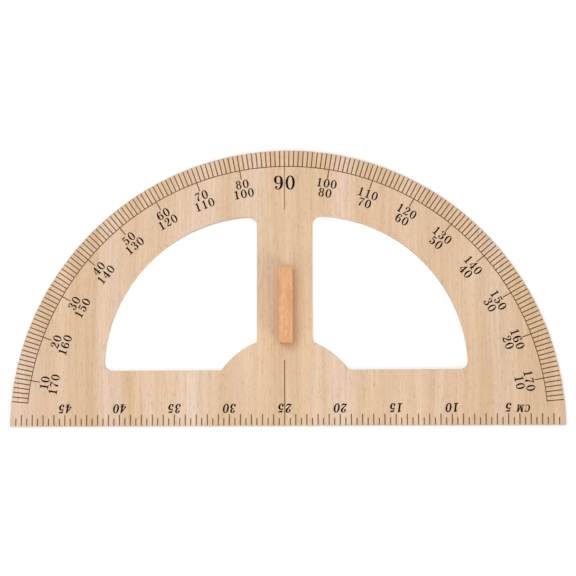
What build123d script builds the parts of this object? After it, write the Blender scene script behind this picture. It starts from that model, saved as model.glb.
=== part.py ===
from build123d import *
from collections import namedtuple
import functools
import math
import os

# A demonstration protractor: a half-disc board of five-ply beech plywood with two windows,
# a solid beech handle held by two wood screws from the back, and printed scales.
# Millimetres. The origin is the protractor's vertex, the middle of the straight edge, on the
# back face. +X runs along the ruled edge, +Y towards the 90 degree mark, +Z out of the print.

# Board outline
BOARD_RADIUS = 250.5
BAR_HALF_WIDTH = 25.0
BAND_HEIGHT = 50.0
WINDOW_RADIUS = 140.0
WINDOW_CORNER = 8.0
HUB_CENTRE_Y = 10.0
HUB_RADIUS = 70.0

# Plies, from the back face to the front face
PLIES = [
    ("back_face_ply", 0.9),
    ("back_crossband_ply", 1.0),
    ("core_ply", 1.2),
    ("front_crossband_ply", 1.0),
    ("front_face_ply", 0.9),
]
BOARD_THICKNESS = sum(thickness for _, thickness in PLIES)
ARRIS_RADIUS = 0.4

# Handle
HANDLE_WIDTH = 12.7
HANDLE_LENGTH = 68.5
HANDLE_HEIGHT = 20.0
HANDLE_CENTRE_X = 2.0
HANDLE_CENTRE_Y = 107.8
HANDLE_CORNER = 2.0
HANDLE_EDGE = 0.5

# Countersunk wood screws, 3.5 x 20, driven from the back
SCREW_PITCH_Y = 40.0
SCREW_LENGTH = 20.0
SCREW_MAJOR = 1.75
SCREW_ROOT = 1.15
SCREW_SHANK = 1.3
SCREW_HEAD_RADIUS = 3.5
SCREW_HEAD_RIM = 0.3
SCREW_SINK = 0.25
SCREW_TIP = 3.2
THREAD_PITCH = 1.6
THREAD_RISE = 0.8
THREAD_CREST = 0.16
RECESS_SPAN = 3.6
RECESS_BLADE = 0.75
RECESS_DEPTH = 1.5
RECESS_TAPER = 0.55
CLEARANCE_RADIUS = 1.9
FIT_GAP = 0.05
OVERCUT = 1.0

# Print
INK_THICKNESS = 0.05
DEGREE_LINE_WIDTH = 0.94
RING_LINE_WIDTH = 0.72
RIGHT_ANGLE_LINE_WIDTH = 0.62
RULE_LINE_WIDTH = 0.94
VERTEX_LINE_WIDTH = 0.86
EDGE_GAP = 0.45
FIRST_DEGREE = 5
LAST_DEGREE = 175
# The degree print is centred a little above the straight edge
DEGREE_CENTRE_Y = 0.8
RING_RADIUS = 235.1
TENS_RADIUS = 226.8
RIGHT_ANGLE_RADIUS = 195.0
RULE_LENGTH_CM = 50
CENTIMETRE = 10.0
CM_TICK = 10.4
HALF_TICK = 7.0
VERTEX_TICK = 59.3
OUTER_ROW_RADIUS = 222.3
INNER_ROW_RADIUS = 213.5
RIGHT_ANGLE_ROW_RADIUS = 220.1
RULE_ROW_Y = 15.75
UNIT_ROW_Y = 14.85
UNIT_CENTRE_X = 213.55

# Points round an oval in a figure
OVAL_POINTS = 12

# A style of figure: cap height, stretch along the line, slant, the pitch of the figures, and how
# much wider than drawn its strokes are, as a share of its height
Style = namedtuple("Style", "height stretch slant pitch weight")
DEGREE_STYLE = Style(7.6, 1.14, 0.0, 6.58, 0.030)
RIGHT_ANGLE_STYLE = Style(12.6, 1.10, 0.0, 10.8, 0.016)
RULE_STYLE = Style(7.8, 1.07, 0.16, 6.3, 0.055)
VERTEX_STYLE = RULE_STYLE._replace(pitch=6.95)
UNIT_STYLE = Style(6.2, 1.0, 0.16, 6.34, 0.070)

# Serif figures on a unit cap height. A stroke is a list of (x, y, width) along its centre line,
# a ring is (centre x, centre y, outer rx, outer ry, inner rx, inner ry), a ball is (x, y, radius)
# and a slab is a closed polygon.
FIGURES = {
    "0": {"width": 0.60, "rings": [(0.30, 0.5, 0.30, 0.515, 0.15, 0.462)]},
    "1": {
        "width": 0.44,
        "slabs": [
            [(0.16, 0.03), (0.31, 0.03), (0.31, 1.01), (0.25, 1.01), (0.04, 0.88), (0.04, 0.84),
             (0.16, 0.87)],
            [(0.02, 0.0), (0.44, 0.0), (0.44, 0.05), (0.31, 0.08), (0.16, 0.08), (0.02, 0.05)],
        ],
    },
    "2": {
        "width": 0.58,
        "balls": [(0.135, 0.735, 0.082)],
        "strokes": [
            [(0.07, 0.73, 0.04), (0.10, 0.88, 0.045), (0.27, 0.985, 0.055), (0.45, 0.88, 0.13),
             (0.46, 0.69, 0.16), (0.34, 0.47, 0.11), (0.17, 0.26, 0.06), (0.07, 0.08, 0.05)],
            [(0.04, 0.01, 0.03), (0.15, 0.10, 0.10), (0.29, 0.075, 0.13), (0.43, 0.075, 0.13),
             (0.51, 0.15, 0.07), (0.545, 0.27, 0.035)],
        ],
    },
    "3": {
        "width": 0.58,
        "balls": [(0.135, 0.80, 0.075), (0.125, 0.195, 0.085)],
        "strokes": [
            [(0.075, 0.80, 0.04), (0.12, 0.93, 0.045), (0.27, 0.985, 0.05), (0.42, 0.90, 0.12),
             (0.44, 0.76, 0.15), (0.37, 0.60, 0.09), (0.19, 0.54, 0.045)],
            [(0.19, 0.54, 0.045), (0.36, 0.51, 0.07), (0.47, 0.39, 0.14), (0.48, 0.24, 0.165),
             (0.41, 0.08, 0.11), (0.26, 0.012, 0.05), (0.11, 0.06, 0.045), (0.055, 0.20, 0.04)],
        ],
    },
    "4": {
        "width": 0.60,
        "slabs": [
            [(0.34, 0.03), (0.485, 0.03), (0.485, 1.01), (0.43, 1.01), (0.34, 0.90)],
            [(0.43, 1.01), (0.01, 0.32), (0.01, 0.245), (0.60, 0.245), (0.60, 0.30), (0.07, 0.30),
             (0.40, 0.86)],
            [(0.22, 0.0), (0.59, 0.0), (0.59, 0.05), (0.485, 0.08), (0.34, 0.08), (0.22, 0.05)],
        ],
    },
    "5": {
        "width": 0.58,
        "balls": [(0.13, 0.205, 0.082)],
        "slabs": [[(0.09, 0.50), (0.13, 0.50), (0.135, 0.86), (0.30, 0.83), (0.42, 0.86), (0.49, 0.98),
                   (0.47, 1.0), (0.38, 0.965), (0.24, 0.965), (0.10, 1.0)]],
        "strokes": [
            [(0.10, 0.51, 0.03), (0.18, 0.60, 0.055), (0.32, 0.615, 0.09), (0.45, 0.49, 0.15),
             (0.475, 0.31, 0.165), (0.41, 0.10, 0.11), (0.26, 0.012, 0.05), (0.11, 0.07, 0.045),
             (0.06, 0.21, 0.04)],
        ],
    },
    "6": {
        "width": 0.59,
        "balls": [(0.435, 0.815, 0.078)],
        "strokes": [
            [(0.495, 0.82, 0.04), (0.45, 0.94, 0.045), (0.33, 0.985, 0.05), (0.17, 0.87, 0.11),
             (0.085, 0.62, 0.155), (0.085, 0.33, 0.16), (0.155, 0.09, 0.10), (0.31, 0.012, 0.05)],
            [(0.25, 0.02, 0.04), (0.34, 0.02, 0.06), (0.46, 0.10, 0.12), (0.505, 0.29, 0.155),
             (0.45, 0.49, 0.11), (0.32, 0.575, 0.05), (0.19, 0.52, 0.045), (0.12, 0.38, 0.04)],
        ],
    },
    "7": {
        "width": 0.58,
        "balls": [(0.235, 0.075, 0.088)],
        "strokes": [
            [(0.05, 0.73, 0.03), (0.08, 0.86, 0.06), (0.18, 0.92, 0.13), (0.34, 0.905, 0.13),
             (0.46, 0.92, 0.09), (0.55, 0.99, 0.03)],
            [(0.55, 0.985, 0.03), (0.46, 0.78, 0.045), (0.33, 0.53, 0.08), (0.25, 0.28, 0.14),
             (0.235, 0.08, 0.17)],
        ],
    },
    "8": {
        "width": 0.58,
        "rings": [(0.29, 0.755, 0.235, 0.255, 0.115, 0.205), (0.29, 0.275, 0.275, 0.29, 0.14, 0.235)],
    },
    "C": {
        "width": 0.70,
        "slabs": [[(0.62, 0.66), (0.655, 0.66), (0.655, 1.0), (0.625, 1.0), (0.60, 0.93)]],
        "strokes": [
            [(0.635, 0.68, 0.035), (0.54, 0.91, 0.045), (0.38, 0.985, 0.05), (0.17, 0.84, 0.12),
             (0.09, 0.50, 0.165), (0.17, 0.16, 0.12), (0.38, 0.012, 0.05), (0.56, 0.08, 0.045),
             (0.66, 0.28, 0.035)],
        ],
    },
    "M": {
        "width": 0.96,
        "slabs": [
            [(0.0, 0.0), (0.27, 0.0), (0.27, 0.045), (0.155, 0.06), (0.155, 0.86), (0.42, 0.0),
             (0.46, 0.0), (0.70, 0.84), (0.70, 0.06), (0.61, 0.045), (0.61, 0.0), (0.96, 0.0),
             (0.96, 0.045), (0.85, 0.06), (0.85, 0.94), (0.96, 0.955), (0.96, 1.0), (0.70, 1.0),
             (0.49, 0.31), (0.29, 1.0), (0.0, 1.0), (0.0, 0.955), (0.11, 0.94), (0.11, 0.06),
             (0.0, 0.045)],
        ],
    },
}


def window_outline():
    """One window: a quarter disc, rounded at its two outer corners, notched by the hub."""
    corner = Rectangle(WINDOW_RADIUS, WINDOW_RADIUS, align=(Align.MIN, Align.MIN))
    quarter = Circle(WINDOW_RADIUS) & corner
    quarter = fillet(quarter.vertices().sort_by_distance((0, 0))[1:], WINDOW_CORNER)
    return Pos(BAR_HALF_WIDTH, BAND_HEIGHT) * quarter - Pos(0, HUB_CENTRE_Y) * Circle(HUB_RADIUS)


def board_outline():
    """The half disc less its two windows."""
    half_plane = Rectangle(2 * BOARD_RADIUS, BOARD_RADIUS, align=(Align.CENTER, Align.MIN))
    window = window_outline()
    return (Circle(BOARD_RADIUS) & half_plane) - window - mirror(window, about=Plane.YZ)


def screw_places():
    """The two screw axes, above and below the handle's middle."""
    return [Pos(HANDLE_CENTRE_X, HANDLE_CENTRE_Y + side * SCREW_PITCH_Y / 2, 0) for side in (1, -1)]


def screw_holes():
    """The countersunk clearance holes through the board, as solids to cut away."""
    mouth = SCREW_HEAD_RADIUS + SCREW_HEAD_RIM + SCREW_SINK + FIT_GAP
    top = BOARD_THICKNESS + OVERCUT
    cone = [(0, -OVERCUT), (mouth + OVERCUT, -OVERCUT), (CLEARANCE_RADIUS, mouth - CLEARANCE_RADIUS)]
    profile = make_face(Polyline(*cone, (CLEARANCE_RADIUS, top), (0, top), close=True))
    hole = revolve(Plane.XZ * profile, Axis.Z)
    return [place * hole for place in screw_places()]


def ply(outline, low, thickness, holes):
    """One sheet of veneer, with the outer edges of a face ply eased."""
    sheet = Pos(0, 0, low) * extrude(outline, thickness)
    high = low + thickness
    if low == 0:
        sheet = fillet(sheet.faces().sort_by(Axis.Z)[0].edges(), ARRIS_RADIUS)
    if high > BOARD_THICKNESS - thickness / 2:
        sheet = fillet(sheet.faces().sort_by(Axis.Z)[-1].edges(), ARRIS_RADIUS)
    for hole in holes:
        sheet -= hole
    return sheet


def screw_socket():
    """The bored hole that a screw's thread holds in, from the handle's foot."""
    radius = SCREW_MAJOR + FIT_GAP
    depth = SCREW_SINK + SCREW_LENGTH - SCREW_TIP
    tip = SCREW_SINK + SCREW_LENGTH + FIT_GAP
    profile = make_face(Polyline((0, 0), (radius, 0), (radius, depth), (0, tip), close=True))
    return revolve(Plane.XZ * profile, Axis.Z)


def handle():
    """The upright beech block, its corners and upper edges eased, bored for the screws."""
    block = extrude(RectangleRounded(HANDLE_WIDTH, HANDLE_LENGTH, HANDLE_CORNER), HANDLE_HEIGHT)
    block = fillet(block.faces().sort_by(Axis.Z)[-1].edges(), HANDLE_EDGE)
    block = Pos(HANDLE_CENTRE_X, HANDLE_CENTRE_Y, BOARD_THICKNESS) * block
    return block - [place * screw_socket() for place in screw_places()]


def cross_recess():
    """The driver's recess: two crossed blades that narrow towards the bottom."""
    blade = Rectangle(RECESS_SPAN, RECESS_BLADE) + Rectangle(RECESS_BLADE, RECESS_SPAN)
    floor = scale(blade, RECESS_TAPER)
    return loft([blade.face(), (Pos(0, 0, RECESS_DEPTH) * floor).face()])


def screw():
    """A countersunk wood screw, head down, its thread drawn as rings."""
    head_end = SCREW_HEAD_RIM + SCREW_HEAD_RADIUS - SCREW_SHANK
    thread_start = BOARD_THICKNESS - SCREW_SINK + THREAD_PITCH / 2
    rings = int((SCREW_LENGTH - SCREW_TIP - thread_start) / THREAD_PITCH)
    points = [(0, 0), (SCREW_HEAD_RADIUS - SCREW_HEAD_RIM, 0), (SCREW_HEAD_RADIUS, SCREW_HEAD_RIM)]
    points += [(SCREW_SHANK, head_end), (SCREW_SHANK, thread_start - THREAD_PITCH / 2)]
    for ring in range(rings):
        root = thread_start + ring * THREAD_PITCH
        crest = root + THREAD_RISE
        points += [(SCREW_ROOT, root), (SCREW_MAJOR, crest), (SCREW_MAJOR, crest + THREAD_CREST)]
    points += [(SCREW_ROOT, thread_start + rings * THREAD_PITCH), (0, SCREW_LENGTH)]
    body = revolve(Plane.XZ * make_face(Polyline(*points, close=True)), Axis.Z)
    return Pos(0, 0, SCREW_SINK) * (body - cross_recess())


def print_on_front(sketch):
    """A printed film of ink on the board's front face."""
    return extrude(Pos(0, 0, BOARD_THICKNESS) * sketch, INK_THICKNESS)


def radial_line(angle, inner, outer, width):
    """A printed line along a radius."""
    length = outer - inner
    return Rot(0, 0, angle) * Pos(inner + length / 2, 0) * Rectangle(length, width)


def degree_scale():
    """A mark at every degree, longer at the tens, on a ring line, with the long 90 degree line."""
    marks = [radial_line(90, RIGHT_ANGLE_RADIUS, RING_RADIUS, RIGHT_ANGLE_LINE_WIDTH)]
    for degree in range(FIRST_DEGREE, LAST_DEGREE + 1):
        inner = RING_RADIUS
        if degree % 10 == 0 and degree != 90:
            inner = TENS_RADIUS
        marks.append(radial_line(degree, inner, BOARD_RADIUS, DEGREE_LINE_WIDTH))
    half_angle = math.degrees(DEGREE_LINE_WIDTH / 2 / RING_RADIUS)
    sweep = LAST_DEGREE - FIRST_DEGREE + 2 * half_angle
    arc = CenterArc((0, 0), RING_RADIUS, FIRST_DEGREE - half_angle, sweep)
    ring = trace(arc, RING_LINE_WIDTH)
    scale = Pos(0, DEGREE_CENTRE_Y) * (Sketch() + ring + marks)
    return print_on_front(scale & Circle(BOARD_RADIUS - EDGE_GAP))


def ruler_scale():
    """A 50 cm rule along the straight edge, ruled every half centimetre, with the vertex line."""
    marks = []
    for step in range(1, 2 * RULE_LENGTH_CM):
        width = RULE_LINE_WIDTH
        height = HALF_TICK if step % 2 else CM_TICK
        if step == RULE_LENGTH_CM:
            width = VERTEX_LINE_WIDTH
            height = VERTEX_TICK
        mark = Rectangle(width, height - EDGE_GAP, align=(Align.CENTER, Align.MIN))
        marks.append(Pos((step - RULE_LENGTH_CM) * CENTIMETRE / 2, EDGE_GAP) * mark)
    return print_on_front(Sketch() + marks)


def figure_point(x, y, style):
    """A point of a figure, slanted and brought to size."""
    return ((x * style.stretch + style.slant * y) * style.height, y * style.height)


def stroke_face(points, style):
    """A pen stroke whose width changes along its centre line."""
    left, right = [], []
    last = len(points) - 1
    for index, (x, y, width) in enumerate(points):
        before = points[max(index - 1, 0)]
        after = points[min(index + 1, last)]
        run = math.hypot(after[0] - before[0], after[1] - before[1])
        reach = (width + style.weight) / 2
        normal_x = (before[1] - after[1]) / run * reach
        normal_y = (after[0] - before[0]) / run * reach
        left.append(figure_point(x + normal_x, y + normal_y, style))
        right.append(figure_point(x - normal_x, y - normal_y, style))
    right.reverse()
    return make_face([Spline(*left), Line(left[-1], right[0]), Spline(*right), Line(right[-1], left[0])])


def oval_face(x, y, radius_x, radius_y, style):
    """An oval, slanted with its figure."""
    turns = [2 * math.pi * step / OVAL_POINTS for step in range(OVAL_POINTS)]
    points = [figure_point(x + radius_x * math.cos(turn), y + radius_y * math.sin(turn), style)
              for turn in turns]
    return make_face(Spline(*points, periodic=True))


@functools.lru_cache(maxsize=None)
def figure_face(character, style):
    """One printed figure, its foot on the X axis and its left edge on the Y axis."""
    if character == "9":
        turned = Rot(0, 0, 180) * figure_face("6", style)
        return Pos(figure_width("6", style) + style.slant * style.height, style.height) * turned
    parts = FIGURES[character]
    spread = style.weight / 2
    face = Sketch()
    for stroke in parts.get("strokes", []):
        face += stroke_face(stroke, style)
    for x, y, radius in parts.get("balls", []):
        face += oval_face(x, y, (radius + spread) / style.stretch, radius + spread, style)
    for slab in parts.get("slabs", []):
        corners = [figure_point(x, y, style) for x, y in slab]
        face += offset(make_face(Polyline(*corners, close=True)), spread * style.height)
    rings = parts.get("rings", [])
    for x, y, outer_x, outer_y, _, _ in rings:
        face += oval_face(x, y, outer_x + spread, outer_y + spread, style)
    for x, y, _, _, inner_x, inner_y in rings:
        face -= oval_face(x, y, inner_x - spread, inner_y - spread, style)
    return face


def figure_width(character, style):
    """The room that a figure takes along its line."""
    return FIGURES["6" if character == "9" else character]["width"] * style.stretch * style.height


def text_films(text, style, place):
    """A printed row of figures on an even pitch, centred on a place on the front face."""
    films = []
    for index, character in enumerate(text):
        middle = (index - (len(text) - 1) / 2) * style.pitch
        left = middle - (figure_width(character, style) + style.slant * style.height) / 2
        face = figure_face(character, style)
        films.append(print_on_front(place * Pos(left, -style.height / 2) * face))
    return films


def degree_figures(radius, first, step):
    """A row of degree figures round the board, their heads outwards, leaving out the 90."""
    films = []
    for turned in range(10, 180, 10):
        if turned != 90:
            place = Pos(0, DEGREE_CENTRE_Y) * Rot(0, 0, 90 - turned) * Pos(0, radius)
            films += text_films(str(first + step * turned), DEGREE_STYLE, place)
    return Compound(children=films)


def right_angle_figures():
    """The large 90, its two figures either side of the 90 degree line."""
    place = Pos(0, DEGREE_CENTRE_Y + RIGHT_ANGLE_ROW_RADIUS)
    return Compound(children=text_films("90", RIGHT_ANGLE_STYLE, place))


def ruler_figures():
    """Centimetre figures every 5 cm and the unit, read from the far side of the board."""
    films = []
    for centimetre in range(5, RULE_LENGTH_CM, 5):
        x = (RULE_LENGTH_CM / 2 - centimetre) * CENTIMETRE
        style = VERTEX_STYLE if 2 * centimetre == RULE_LENGTH_CM else RULE_STYLE
        films += text_films(str(centimetre), style, Pos(x, RULE_ROW_Y) * Rot(0, 0, 180))
    films += text_films("CM", UNIT_STYLE, Pos(UNIT_CENTRE_X, UNIT_ROW_Y) * Rot(0, 0, 180))
    return Compound(children=films)


def save(shape, name):
    """Write one sub-part."""
    shape.label = name
    export_step(shape, f"parts/{name}.step")


def main():
    os.makedirs("parts", exist_ok=True)
    outline = board_outline()
    holes = screw_holes()
    low = 0.0
    for name, thickness in PLIES:
        save(ply(outline, low, thickness, holes), name)
        low += thickness
    save(handle(), "handle")
    for name, place in zip(("handle_screw_upper", "handle_screw_lower"), screw_places()):
        save(place * screw(), name)
    save(degree_scale(), "degree_scale")
    save(ruler_scale(), "ruler_scale")
    save(degree_figures(OUTER_ROW_RADIUS, 0, 1), "outer_degree_figures")
    save(degree_figures(INNER_ROW_RADIUS, 180, -1), "inner_degree_figures")
    save(right_angle_figures(), "right_angle_figures")
    save(ruler_figures(), "ruler_figures")


main()
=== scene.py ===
import math

import bpy
from mathutils import Matrix, Vector


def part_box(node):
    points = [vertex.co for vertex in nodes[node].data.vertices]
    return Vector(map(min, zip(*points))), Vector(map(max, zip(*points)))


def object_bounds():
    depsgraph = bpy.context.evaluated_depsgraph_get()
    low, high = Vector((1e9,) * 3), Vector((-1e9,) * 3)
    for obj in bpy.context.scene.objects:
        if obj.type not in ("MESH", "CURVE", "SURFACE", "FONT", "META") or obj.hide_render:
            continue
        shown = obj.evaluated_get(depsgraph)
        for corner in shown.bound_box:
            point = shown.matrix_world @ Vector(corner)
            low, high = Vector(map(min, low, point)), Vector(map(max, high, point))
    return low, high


# A classroom board protractor lying on a pale floor, seen from almost straight above.
# Metres. +X runs along the ruled edge, +Y towards the 90 degree mark, +Z out of the print.

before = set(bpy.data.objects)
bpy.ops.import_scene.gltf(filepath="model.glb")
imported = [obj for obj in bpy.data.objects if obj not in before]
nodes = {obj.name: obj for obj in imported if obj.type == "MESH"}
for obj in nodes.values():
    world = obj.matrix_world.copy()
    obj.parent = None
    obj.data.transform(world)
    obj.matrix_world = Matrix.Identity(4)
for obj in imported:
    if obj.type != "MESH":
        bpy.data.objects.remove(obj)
cad_low, cad_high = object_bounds()

MM = 0.001

# Places worked out from the frame
board_low, board_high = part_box("front_face_ply")
board_centre = (board_low + board_high) / 2
board_centre.z = board_high.z

# Camera: where it aims, measured from the middle of the print, and how it looks at it
CAMERA_AIM = Vector((3.2, -0.88, 0.0)) * MM
CAMERA_DISTANCE = 1.506
CAMERA_AZIMUTH = 35.0
CAMERA_ELEVATION = 83.1
CAMERA_ROLL = -0.112
CAMERA_LENS = 103.9
SENSOR_WIDTH = 36.0

# Colours, linear
VENEER_PALE = (0.650, 0.492, 0.376)
VENEER_MID = (0.622, 0.447, 0.305)
VENEER_TAN = (0.582, 0.404, 0.253)
VENEER_FLECK = (0.36, 0.20, 0.11)
VENEER_WARM = (0.945, 0.920, 0.885)
VENEER_COOL = (1.045, 1.050, 1.055)
BEECH_PALE = (0.648, 0.362, 0.176)
BEECH_MID = (0.600, 0.314, 0.143)
BEECH_DARK = (0.53, 0.252, 0.104)
BEECH_FLECK = (0.38, 0.150, 0.060)
BEECH_RED = (0.905, 0.785, 0.695)
BEECH_LIGHT = (1.045, 1.070, 1.095)
INK_BLACK = (0.010, 0.004, 0.002)
INK_BROWN = (0.120, 0.056, 0.012)
FLOOR_WHITE = (0.95, 0.95, 0.95)

# How far the handle's mottle and rays lean from its length, in radians
MOTTLE_TURN = 0.5
RAY_TURN = 0.12

# How far the floor lies under the back face, so that the two do not share a plane
FLOOR_DROP = 0.3 * MM
FLOOR_HALF_WIDTH = 6.0


# ---------------------------------------------------------------- node helpers

class Graph:
    """A material's node tree, built by short calls."""

    def __init__(self, name):
        self.material = bpy.data.materials.new(name)
        self.material.use_nodes = True
        self.nodes = self.material.node_tree.nodes
        self.links = self.material.node_tree.links
        self.shader = self.nodes["Principled BSDF"]

    def link(self, source, target):
        self.links.new(source, target)

    def place(self, scale, turn=(0, 0, 0), shift=(0, 0, 0)):
        """Object coordinates, scaled, turned and shifted."""
        coordinates = self.nodes.new("ShaderNodeTexCoord")
        mapping = self.nodes.new("ShaderNodeMapping")
        mapping.inputs["Scale"].default_value = scale
        mapping.inputs["Rotation"].default_value = turn
        mapping.inputs["Location"].default_value = shift
        self.link(coordinates.outputs["Object"], mapping.inputs["Vector"])
        return mapping.outputs["Vector"]

    def scaled(self, place, scale):
        """A place with each of its parts multiplied."""
        product = self.nodes.new("ShaderNodeVectorMath")
        product.operation = "MULTIPLY"
        product.inputs[1].default_value = scale
        self.link(place, product.inputs[0])
        return product.outputs["Vector"]

    def meander(self, place, scale, reach):
        """A place pushed to and fro in X, so that lines along Y wander a little."""
        wander = self.math("SUBTRACT", self.noise(self.scaled(place, scale)), 0.5)
        wander = self.math("MULTIPLY", wander, reach)
        offset = self.nodes.new("ShaderNodeCombineXYZ")
        self.link(wander, offset.inputs["X"])
        total = self.nodes.new("ShaderNodeVectorMath")
        self.link(place, total.inputs[0])
        self.link(offset.outputs["Vector"], total.inputs[1])
        return total.outputs["Vector"]

    def shade(self, colour, factor):
        """A colour multiplied by another."""
        return self.mix(1.0, colour, factor, "MULTIPLY")

    def noise(self, place, scale=1.0, detail=3.0, rough=0.5, distortion=0.0):
        texture = self.nodes.new("ShaderNodeTexNoise")
        texture.inputs["Scale"].default_value = scale
        texture.inputs["Detail"].default_value = detail
        texture.inputs["Roughness"].default_value = rough
        texture.inputs["Distortion"].default_value = distortion
        self.link(place, texture.inputs["Vector"])
        return texture.outputs["Fac"]

    def ramp(self, value, stops):
        """A colour ramp through (position, colour or grey) stops."""
        ramp = self.nodes.new("ShaderNodeValToRGB")
        elements = ramp.color_ramp.elements
        while len(elements) < len(stops):
            elements.new(0.5)
        for element, (position, colour) in zip(elements, stops):
            element.position = position
            grey = not hasattr(colour, "__len__")
            element.color = (colour, colour, colour, 1) if grey else (*colour, 1)
        self.link(value, ramp.inputs["Fac"])
        return ramp.outputs["Color"]

    def mix(self, amount, first, second, mode="MIX"):
        """first and second mixed; each is a socket or a colour, amount a socket or a number."""
        mix = self.nodes.new("ShaderNodeMix")
        mix.data_type = "RGBA"
        mix.blend_type = mode
        sockets = (mix.inputs[0], mix.inputs[6], mix.inputs[7])
        for value, socket in zip((amount, first, second), sockets):
            if isinstance(value, bpy.types.NodeSocket):
                self.link(value, socket)
            elif hasattr(value, "__len__"):
                socket.default_value = (*value, 1)
            else:
                socket.default_value = value
        return mix.outputs[2]

    def math(self, operation, first, second):
        maths = self.nodes.new("ShaderNodeMath")
        maths.operation = operation
        for value, socket in zip((first, second), maths.inputs):
            if isinstance(value, bpy.types.NodeSocket):
                self.link(value, socket)
            else:
                socket.default_value = value
        return maths.outputs[0]

    def bump(self, height, distance, strength=1.0):
        bump = self.nodes.new("ShaderNodeBump")
        bump.inputs["Distance"].default_value = distance
        bump.inputs["Strength"].default_value = strength
        self.link(height, bump.inputs["Height"])
        self.link(bump.outputs["Normal"], self.shader.inputs["Normal"])

    def end_grain(self, axis):
        """How squarely the surface cuts the grain, from 0 along it to 1 across it."""
        geometry = self.nodes.new("ShaderNodeNewGeometry")
        dot = self.nodes.new("ShaderNodeVectorMath")
        dot.operation = "DOT_PRODUCT"
        dot.inputs[1].default_value = axis
        self.link(geometry.outputs["Normal"], dot.inputs[0])
        return self.math("ABSOLUTE", dot.outputs["Value"], 0.0)


# ------------------------------------------------------------------- materials

def veneer(name, along_y, tone=1.0, shift=0.0):
    """Beech veneer: soft pale and tan stripes along the grain, fine lines and short dark flecks."""
    graph = Graph(name)
    turn = (0, 0, 0) if along_y else (0, 0, math.radians(90))
    place = graph.meander(graph.place((1, 1, 1), turn, (shift, shift, 0)), (5, 7, 5), 0.010)

    def grain(across, along, detail, rough):
        return graph.noise(graph.scaled(place, (across, along, across)), detail=detail, rough=rough)

    stripes = [(0.34, VENEER_TAN), (0.49, VENEER_MID), (0.64, VENEER_PALE)]
    colour = graph.ramp(grain(30, 1.5, 2.0, 0.5), stripes)
    lines = [(0.30, VENEER_WARM), (0.70, VENEER_COOL)]
    colour = graph.shade(colour, graph.ramp(grain(110, 3, 2.0, 0.5), lines))
    fine = grain(520, 14, 2.0, 0.5)
    colour = graph.shade(colour, graph.ramp(fine, lines))
    flecks = graph.ramp(grain(1300, 230, 1.0, 0.4), [(0.58, 0.0), (0.72, 1.0)])
    colour = graph.mix(graph.math("MULTIPLY", flecks, 0.36), colour, VENEER_FLECK)
    cut = graph.ramp(graph.end_grain((0, 1, 0) if along_y else (1, 0, 0)), [(0.35, 0.0), (0.9, 1.0)])
    colour = graph.mix(cut, colour, graph.shade(colour, (0.97, 0.93, 0.88)))
    if tone != 1.0:
        colour = graph.shade(colour, (tone, tone, tone))
    graph.link(colour, graph.shader.inputs["Base Color"])
    graph.link(graph.ramp(fine, [(0.3, 0.60), (0.7, 0.68)]), graph.shader.inputs["Roughness"])
    graph.shader.inputs["Specular IOR Level"].default_value = 0.3
    pores = graph.math("MULTIPLY", flecks, 0.6)
    relief = graph.math("SUBTRACT", graph.math("MULTIPLY", fine, 0.5), pores)
    graph.bump(relief, 0.00006, 0.6)
    return graph.material


def solid_beech(name):
    """Steamed solid beech: growth rings that lean and wander, an orange mottle and short dark rays."""
    graph = Graph(name)
    low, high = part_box("handle")
    middle = (low + high) / 2
    centred = graph.place((1, 1, 1), (0, 0, 0), (-middle.x, -middle.y, -middle.z))
    tilt = graph.nodes.new("ShaderNodeMapping")
    tilt.inputs["Rotation"].default_value = (math.radians(4), math.radians(23), math.radians(3))
    tilt.inputs["Scale"].default_value = (230, 22, 230)
    graph.link(centred, tilt.inputs["Vector"])
    rings = graph.noise(tilt.outputs["Vector"], detail=3.0, rough=0.5, distortion=0.6)
    colour = graph.ramp(rings, [(0.25, BEECH_DARK), (0.45, BEECH_MID), (0.68, BEECH_PALE)])
    mottle_place = graph.place((420, 170, 420), (0, 0, MOTTLE_TURN))
    mottle = graph.noise(mottle_place, detail=3.0, rough=0.6, distortion=0.8)
    colour = graph.shade(colour, graph.ramp(mottle, [(0.30, BEECH_RED), (0.62, BEECH_LIGHT)]))
    rays = graph.noise(graph.place((1300, 300, 1300), (0, 0, RAY_TURN)), detail=1.0, rough=0.4)
    dashes = graph.ramp(rays, [(0.62, 0.0), (0.72, 1.0)])
    colour = graph.mix(graph.math("MULTIPLY", dashes, 0.4), colour, BEECH_FLECK)
    cut = graph.ramp(graph.end_grain((0, 1, 0)), [(0.45, 0.0), (0.95, 1.0)])
    colour = graph.mix(cut, colour, graph.shade(colour, (0.97, 0.94, 0.91)))
    graph.link(colour, graph.shader.inputs["Base Color"])
    graph.link(graph.ramp(mottle, [(0.3, 0.52), (0.7, 0.62)]), graph.shader.inputs["Roughness"])
    graph.shader.inputs["Specular IOR Level"].default_value = 0.35
    graph.bump(graph.math("SUBTRACT", rings, graph.math("MULTIPLY", dashes, 0.5)), 0.00008, 0.6)
    return graph.material


def ink(name, base, worn):
    """Screen-printed ink, a little thin where the wood's pores show through."""
    graph = Graph(name)
    patches = graph.noise(graph.place((900, 260, 900)), detail=2.0, rough=0.5)
    thin = graph.ramp(patches, [(0.58, 0.0), (0.80, 1.0)])
    colour = graph.mix(graph.math("MULTIPLY", thin, worn), base, VENEER_FLECK)
    graph.link(colour, graph.shader.inputs["Base Color"])
    graph.link(graph.ramp(patches, [(0.3, 0.70), (0.7, 0.80)]), graph.shader.inputs["Roughness"])
    graph.shader.inputs["Specular IOR Level"].default_value = 0.06
    graph.bump(patches, 0.00002, 0.5)
    return graph.material


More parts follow.
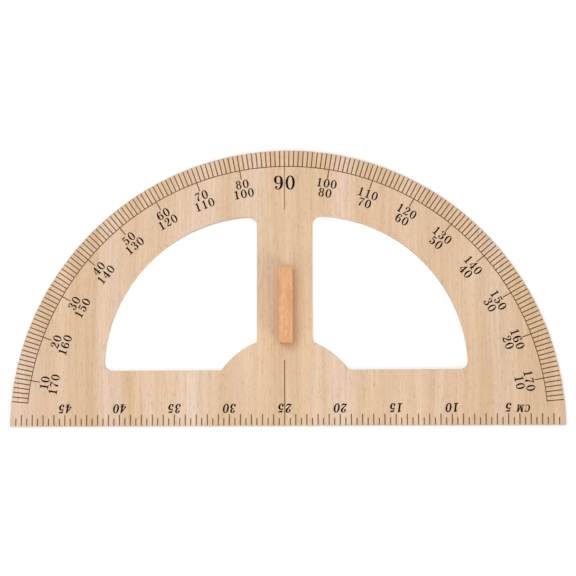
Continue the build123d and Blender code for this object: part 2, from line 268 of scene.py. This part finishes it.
def zinc_plate(name):
    """Bright zinc plating with a faint blue-yellow passivation and turning marks."""
    graph = Graph(name)
    cloud = graph.noise(graph.place((420, 420, 420)), detail=3.0, rough=0.6)
    graph.link(graph.ramp(cloud, [(0.3, (0.50, 0.50, 0.49)), (0.7, (0.66, 0.64, 0.57))]),
               graph.shader.inputs["Base Color"])
    graph.shader.inputs["Metallic"].default_value = 1.0
    graph.link(graph.ramp(cloud, [(0.3, 0.26), (0.7, 0.42)]), graph.shader.inputs["Roughness"])
    graph.bump(graph.noise(graph.place((3000, 3000, 3000)), detail=1.0), 0.00001, 0.4)
    return graph.material


def give(node, material):
    """A CAD node's one finish."""
    mesh = nodes[node].data
    mesh.materials.clear()
    mesh.materials.append(material)


face_veneer = veneer("face_veneer", True)
crossband_veneer = veneer("crossband_veneer", False, 0.96, 3.0)
core_veneer = veneer("core_veneer", True, 0.95, 5.0)
give("front_face_ply", face_veneer)
give("back_face_ply", veneer("back_veneer", True, 0.97, 7.0))
give("front_crossband_ply", crossband_veneer)
give("back_crossband_ply", crossband_veneer)
give("core_ply", core_veneer)
give("handle", solid_beech("handle_beech"))
screw_zinc = zinc_plate("screw_zinc")
give("handle_screw_upper", screw_zinc)
give("handle_screw_lower", screw_zinc)
line_ink = ink("line_ink", INK_BROWN, 0.20)
figure_ink = ink("figure_ink", INK_BLACK, 0.10)
for node in ("degree_scale", "ruler_scale"):
    give(node, line_ink)
for node in ("outer_degree_figures", "inner_degree_figures", "right_angle_figures", "ruler_figures"):
    give(node, figure_ink)


# -------------------------------------------------------------- floor, light, camera

def floor():
    """A plain pale floor, wide enough to fill every view."""
    half = FLOOR_HALF_WIDTH
    level = cad_low.z - FLOOR_DROP
    mesh = bpy.data.meshes.new("floor")
    corners = [(-half, -half, level), (half, -half, level), (half, half, level), (-half, half, level)]
    mesh.from_pydata(corners, [], [(0, 1, 2, 3)])
    graph = Graph("floor_white")
    graph.shader.inputs["Base Color"].default_value = (*FLOOR_WHITE, 1)
    graph.shader.inputs["Roughness"].default_value = 0.9
    graph.shader.inputs["Specular IOR Level"].default_value = 0.1
    mesh.materials.append(graph.material)
    obj = bpy.data.objects.new("floor", mesh)
    bpy.context.scene.collection.objects.link(obj)


def soft_box(name, azimuth, elevation, distance, size, watts):
    """A square soft light aimed at the board's middle; azimuth is counted from +X towards +Y."""
    light = bpy.data.lights.new(name, "AREA")
    light.shape = "SQUARE"
    light.size = size
    light.energy = watts
    obj = bpy.data.objects.new(name, light)
    turn, rise = math.radians(azimuth), math.radians(elevation)
    away = Vector((math.cos(turn) * math.cos(rise), math.sin(turn) * math.cos(rise), math.sin(rise)))
    obj.location = board_centre + away * distance
    obj.rotation_euler = (-away).to_track_quat("-Z", "Y").to_euler()
    bpy.context.scene.collection.objects.link(obj)


def lights():
    """Soft boxes overhead, each side of the straight edge and low at the right, in a pale surround."""
    soft_box("overhead", 128, 82, 1.0, 0.7, 7.9)
    soft_box("key_left", 222, 48, 1.6, 0.5, 3.5)
    soft_box("key_right", 322, 38, 1.6, 0.6, 4.5)
    soft_box("fill_front", 318, 13, 3.0, 1.2, 36.0)
    world = bpy.data.worlds.new("surround")
    world.use_nodes = True
    background = world.node_tree.nodes["Background"]
    background.inputs["Color"].default_value = (1.0, 1.0, 1.0, 1)
    background.inputs["Strength"].default_value = 0.28
    bpy.context.scene.world = world


def camera():
    """The eye, nearly square over the board and a little to its lower right."""
    data = bpy.data.cameras.new("camera")
    data.lens = CAMERA_LENS
    data.sensor_width = SENSOR_WIDTH
    obj = bpy.data.objects.new("camera", data)
    azimuth, elevation = math.radians(CAMERA_AZIMUTH), math.radians(CAMERA_ELEVATION)
    level = math.cos(elevation)
    back = Vector((math.sin(azimuth) * level, -math.cos(azimuth) * level, math.sin(elevation)))
    right = Vector((0, 1, 0)).cross(back).normalized()
    up = back.cross(right)
    turn = Matrix((right, up, back)).transposed() @ Matrix.Rotation(math.radians(CAMERA_ROLL), 3, "Z")
    place = board_centre + CAMERA_AIM + back * CAMERA_DISTANCE
    obj.matrix_world = Matrix.Translation(place) @ turn.to_4x4()
    bpy.context.scene.collection.objects.link(obj)
    bpy.context.scene.camera = obj


floor()
lights()
camera()
bpy.context.scene.view_settings.view_transform = "Standard"
bpy.context.scene.view_settings.look = "None"
